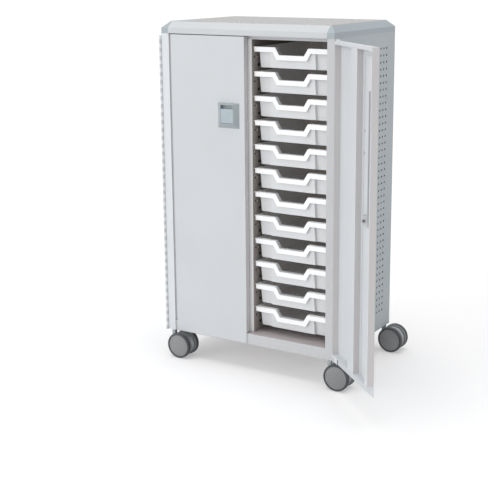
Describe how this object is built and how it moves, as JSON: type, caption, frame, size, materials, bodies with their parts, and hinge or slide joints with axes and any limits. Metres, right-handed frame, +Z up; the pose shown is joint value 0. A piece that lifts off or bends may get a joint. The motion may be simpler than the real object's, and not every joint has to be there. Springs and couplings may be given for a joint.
{
  "type": "classroom tray storage unit",
  "caption": "Mobile steel storage unit with perforated sides, two tall hinged doors with paddle latches, and two columns of shallow pull-out trays on twin-wheel castors.",
  "frame": {"origin": "middle of the base pan's flat underside", "axes": "+Z up through the cap, +X to the right as seen from the front, doors on the -Y side"},
  "size_m": [1.0099, 0.7785, 1.298],
  "materials": {
    "door_white": "satin powder coat on folded steel sheet",
    "frame_white": "satin powder coat on welded steel sections",
    "cap_white": "satin powder coat on folded steel sheet",
    "side_blue_grey": "fine textured powder coat on perforated steel sheet",
    "top_grey": "speckled textured powder coat",
    "runner_dark": "plain dark coated steel sheet",
    "fitting_steel": "zinc plated steel strip and rivets",
    "latch_grey": "fine satin moulded plastic",
    "paddle_blue_grey": "fine satin moulded plastic",
    "tray_white": "smooth moulded polypropylene",
    "castor_grey": "grey moulded glass filled nylon",
    "black_nylon": "moulded glass filled nylon",
    "wheel_grey": "moulded grey wheel with a soft dark tread"
  },
  "bodies": {
    "cabinet": {"base_pan": "frame_white", "corner_posts": "frame_white", "castor_sockets": "black_nylon", "centre_divider": "frame_white", "header_rail": "frame_white", "back_panel": "frame_white", "cap_rails": "cap_white", "top_panel": "top_grey", "side_panel_right": "side_blue_grey", "cap_end_right": "side_blue_grey", "runner_racks_right": "runner_dark", "hinge_post_leaf_right": "frame_white", "side_panel_left": "side_blue_grey", "cap_end_left": "side_blue_grey", "runner_racks_left": "runner_dark", "hinge_post_leaf_left": "frame_white", "tray_left_01": "tray_white", "tray_left_02": "tray_white", "tray_left_03": "tray_white", "tray_left_04": "tray_white", "tray_left_05": "tray_white", "tray_left_06": "tray_white", "tray_left_07": "tray_white", "tray_left_08": "tray_white", "tray_left_09": "tray_white", "tray_left_10": "tray_white", "tray_left_11": "tray_white", "tray_left_12": "tray_white"},
    "door_right_body": {"hinge_door_leaf_right": "door_white", "door_right": "door_white", "door_stiffener_right": "door_white", "lock_fittings_right": "fitting_steel", "latch_surround_right": "latch_grey"},
    "paddle_right_body": {"latch_paddle_right": "paddle_blue_grey"},
    "door_left_body": {"hinge_door_leaf_left": "door_white", "door_left": "door_white", "door_stiffener_left": "door_white", "lock_fittings_left": "fitting_steel", "latch_surround_left": "latch_grey"},
    "paddle_left_body": {"latch_paddle_left": "paddle_blue_grey"},
    "tray_right_01_body": {"tray_right_01": "tray_white"},
    "tray_right_02_body": {"tray_right_02": "tray_white"},
    "tray_right_03_body": {"tray_right_03": "tray_white"},
    "tray_right_04_body": {"tray_right_04": "tray_white"},
    "tray_right_05_body": {"tray_right_05": "tray_white"},
    "tray_right_06_body": {"tray_right_06": "tray_white"},
    "tray_right_07_body": {"tray_right_07": "tray_white"},
    "tray_right_08_body": {"tray_right_08": "tray_white"},
    "tray_right_09_body": {"tray_right_09": "tray_white"},
    "tray_right_10_body": {"tray_right_10": "tray_white"},
    "tray_right_11_body": {"tray_right_11": "tray_white"},
    "tray_right_12_body": {"tray_right_12": "tray_white"},
    "castor_front_left": {"castor_housing_front_left": "castor_grey"},
    "wheels_front_left": {"castor_wheels_front_left": "wheel_grey"},
    "castor_front_right": {"castor_housing_front_right": "castor_grey"},
    "wheels_front_right": {"castor_wheels_front_right": "wheel_grey"},
    "castor_rear_left": {"castor_housing_rear_left": "castor_grey"},
    "wheels_rear_left": {"castor_wheels_rear_left": "wheel_grey"},
    "castor_rear_right": {"castor_housing_rear_right": "castor_grey"},
    "wheels_rear_right": {"castor_wheels_rear_right": "wheel_grey"}
  },
  "joints": [
    {"name": "door_left_hinge", "type": "hinge", "parent": "cabinet", "child": "door_left_body", "pos_m": [-0.3658, -0.2475, 0.5745], "axis": [0, 0, -1], "range_deg": [0, 256]},
    {"name": "door_right_hinge", "type": "hinge", "parent": "cabinet", "child": "door_right_body", "pos_m": [0.3658, -0.2475, 0.5745], "axis": [0, 0, 1], "range_deg": [-138.5, 117.5]},
    {"name": "paddle_left_pull", "type": "hinge", "parent": "door_left_body", "child": "paddle_left_body", "pos_m": [-0.069, -0.259, 0.8355], "axis": [1, 0, 0], "range_deg": [0, 25], "stiffness_Nm_per_rad": 0.02},
    {"name": "paddle_right_pull", "type": "hinge", "parent": "door_right_body", "child": "paddle_right_body", "pos_m": [0.59571, -0.43555, 0.8355], "axis": [-0.749, 0.6626, 0], "range_deg": [0, 25], "stiffness_Nm_per_rad": 0.02},
    {"name": "tray_right_01_slide", "type": "slide", "parent": "cabinet", "child": "tray_right_01_body", "axis": [0, -1, 0], "range_m": [0, 0.36]},
    {"name": "tray_right_02_slide", "type": "slide", "parent": "cabinet", "child": "tray_right_02_body", "axis": [0, -1, 0], "range_m": [0, 0.36]},
    {"name": "tray_right_03_slide", "type": "slide", "parent": "cabinet", "child": "tray_right_03_body", "axis": [0, -1, 0], "range_m": [0, 0.36]},
    {"name": "tray_right_04_slide", "type": "slide", "parent": "cabinet", "child": "tray_right_04_body", "axis": [0, -1, 0], "range_m": [0, 0.36]},
    {"name": "tray_right_05_slide", "type": "slide", "parent": "cabinet", "child": "tray_right_05_body", "axis": [0, -1, 0], "range_m": [0, 0.36]},
    {"name": "tray_right_06_slide", "type": "slide", "parent": "cabinet", "child": "tray_right_06_body", "axis": [0, -1, 0], "range_m": [0, 0.36]},
    {"name": "tray_right_07_slide", "type": "slide", "parent": "cabinet", "child": "tray_right_07_body", "axis": [0, -1, 0], "range_m": [0, 0.36]},
    {"name": "tray_right_08_slide", "type": "slide", "parent": "cabinet", "child": "tray_right_08_body", "axis": [0, -1, 0], "range_m": [0, 0.36]},
    {"name": "tray_right_09_slide", "type": "slide", "parent": "cabinet", "child": "tray_right_09_body", "axis": [0, -1, 0], "range_m": [0, 0.36]},
    {"name": "tray_right_10_slide", "type": "slide", "parent": "cabinet", "child": "tray_right_10_body", "axis": [0, -1, 0], "range_m": [0, 0.36]},
    {"name": "tray_right_11_slide", "type": "slide", "parent": "cabinet", "child": "tray_right_11_body", "axis": [0, -1, 0], "range_m": [0, 0.36]},
    {"name": "tray_right_12_slide", "type": "slide", "parent": "cabinet", "child": "tray_right_12_body", "axis": [0, -1, 0], "range_m": [0, 0.36]},
    {"name": "castor_front_left_swivel", "type": "hinge", "parent": "cabinet", "child": "castor_front_left", "pos_m": [-0.34425, -0.232, 0], "axis": [0, 0, 1], "continuous": true},
    {"name": "wheels_front_left_roll", "type": "hinge", "parent": "castor_front_left", "child": "wheels_front_left", "pos_m": [-0.30425, -0.232, -0.055], "axis": [0, 1, 0], "continuous": true},
    {"name": "castor_front_right_swivel", "type": "hinge", "parent": "cabinet", "child": "castor_front_right", "pos_m": [0.34425, -0.232, 0], "axis": [0, 0, 1], "continuous": true},
    {"name": "wheels_front_right_roll", "type": "hinge", "parent": "castor_front_right", "child": "wheels_front_right", "pos_m": [0.38425, -0.232, -0.055], "axis": [0, 1, 0], "continuous": true},
    {"name": "castor_rear_left_swivel", "type": "hinge", "parent": "cabinet", "child": "castor_rear_left", "pos_m": [-0.34425, 0.2335, 0], "axis": [0, 0, 1], "continuous": true},
    {"name": "wheels_rear_left_roll", "type": "hinge", "parent": "castor_rear_left", "child": "wheels_rear_left", "pos_m": [-0.30425, 0.2335, -0.055], "axis": [0, 1, 0], "continuous": true},
    {"name": "castor_rear_right_swivel", "type": "hinge", "parent": "cabinet", "child": "castor_rear_right", "pos_m": [0.34425, 0.2335, 0], "axis": [0, 0, 1], "continuous": true},
    {"name": "wheels_rear_right_roll", "type": "hinge", "parent": "castor_rear_right", "child": "wheels_rear_right", "pos_m": [0.38425, 0.2335, -0.055], "axis": [0, 1, 0], "continuous": true}
  ]
}
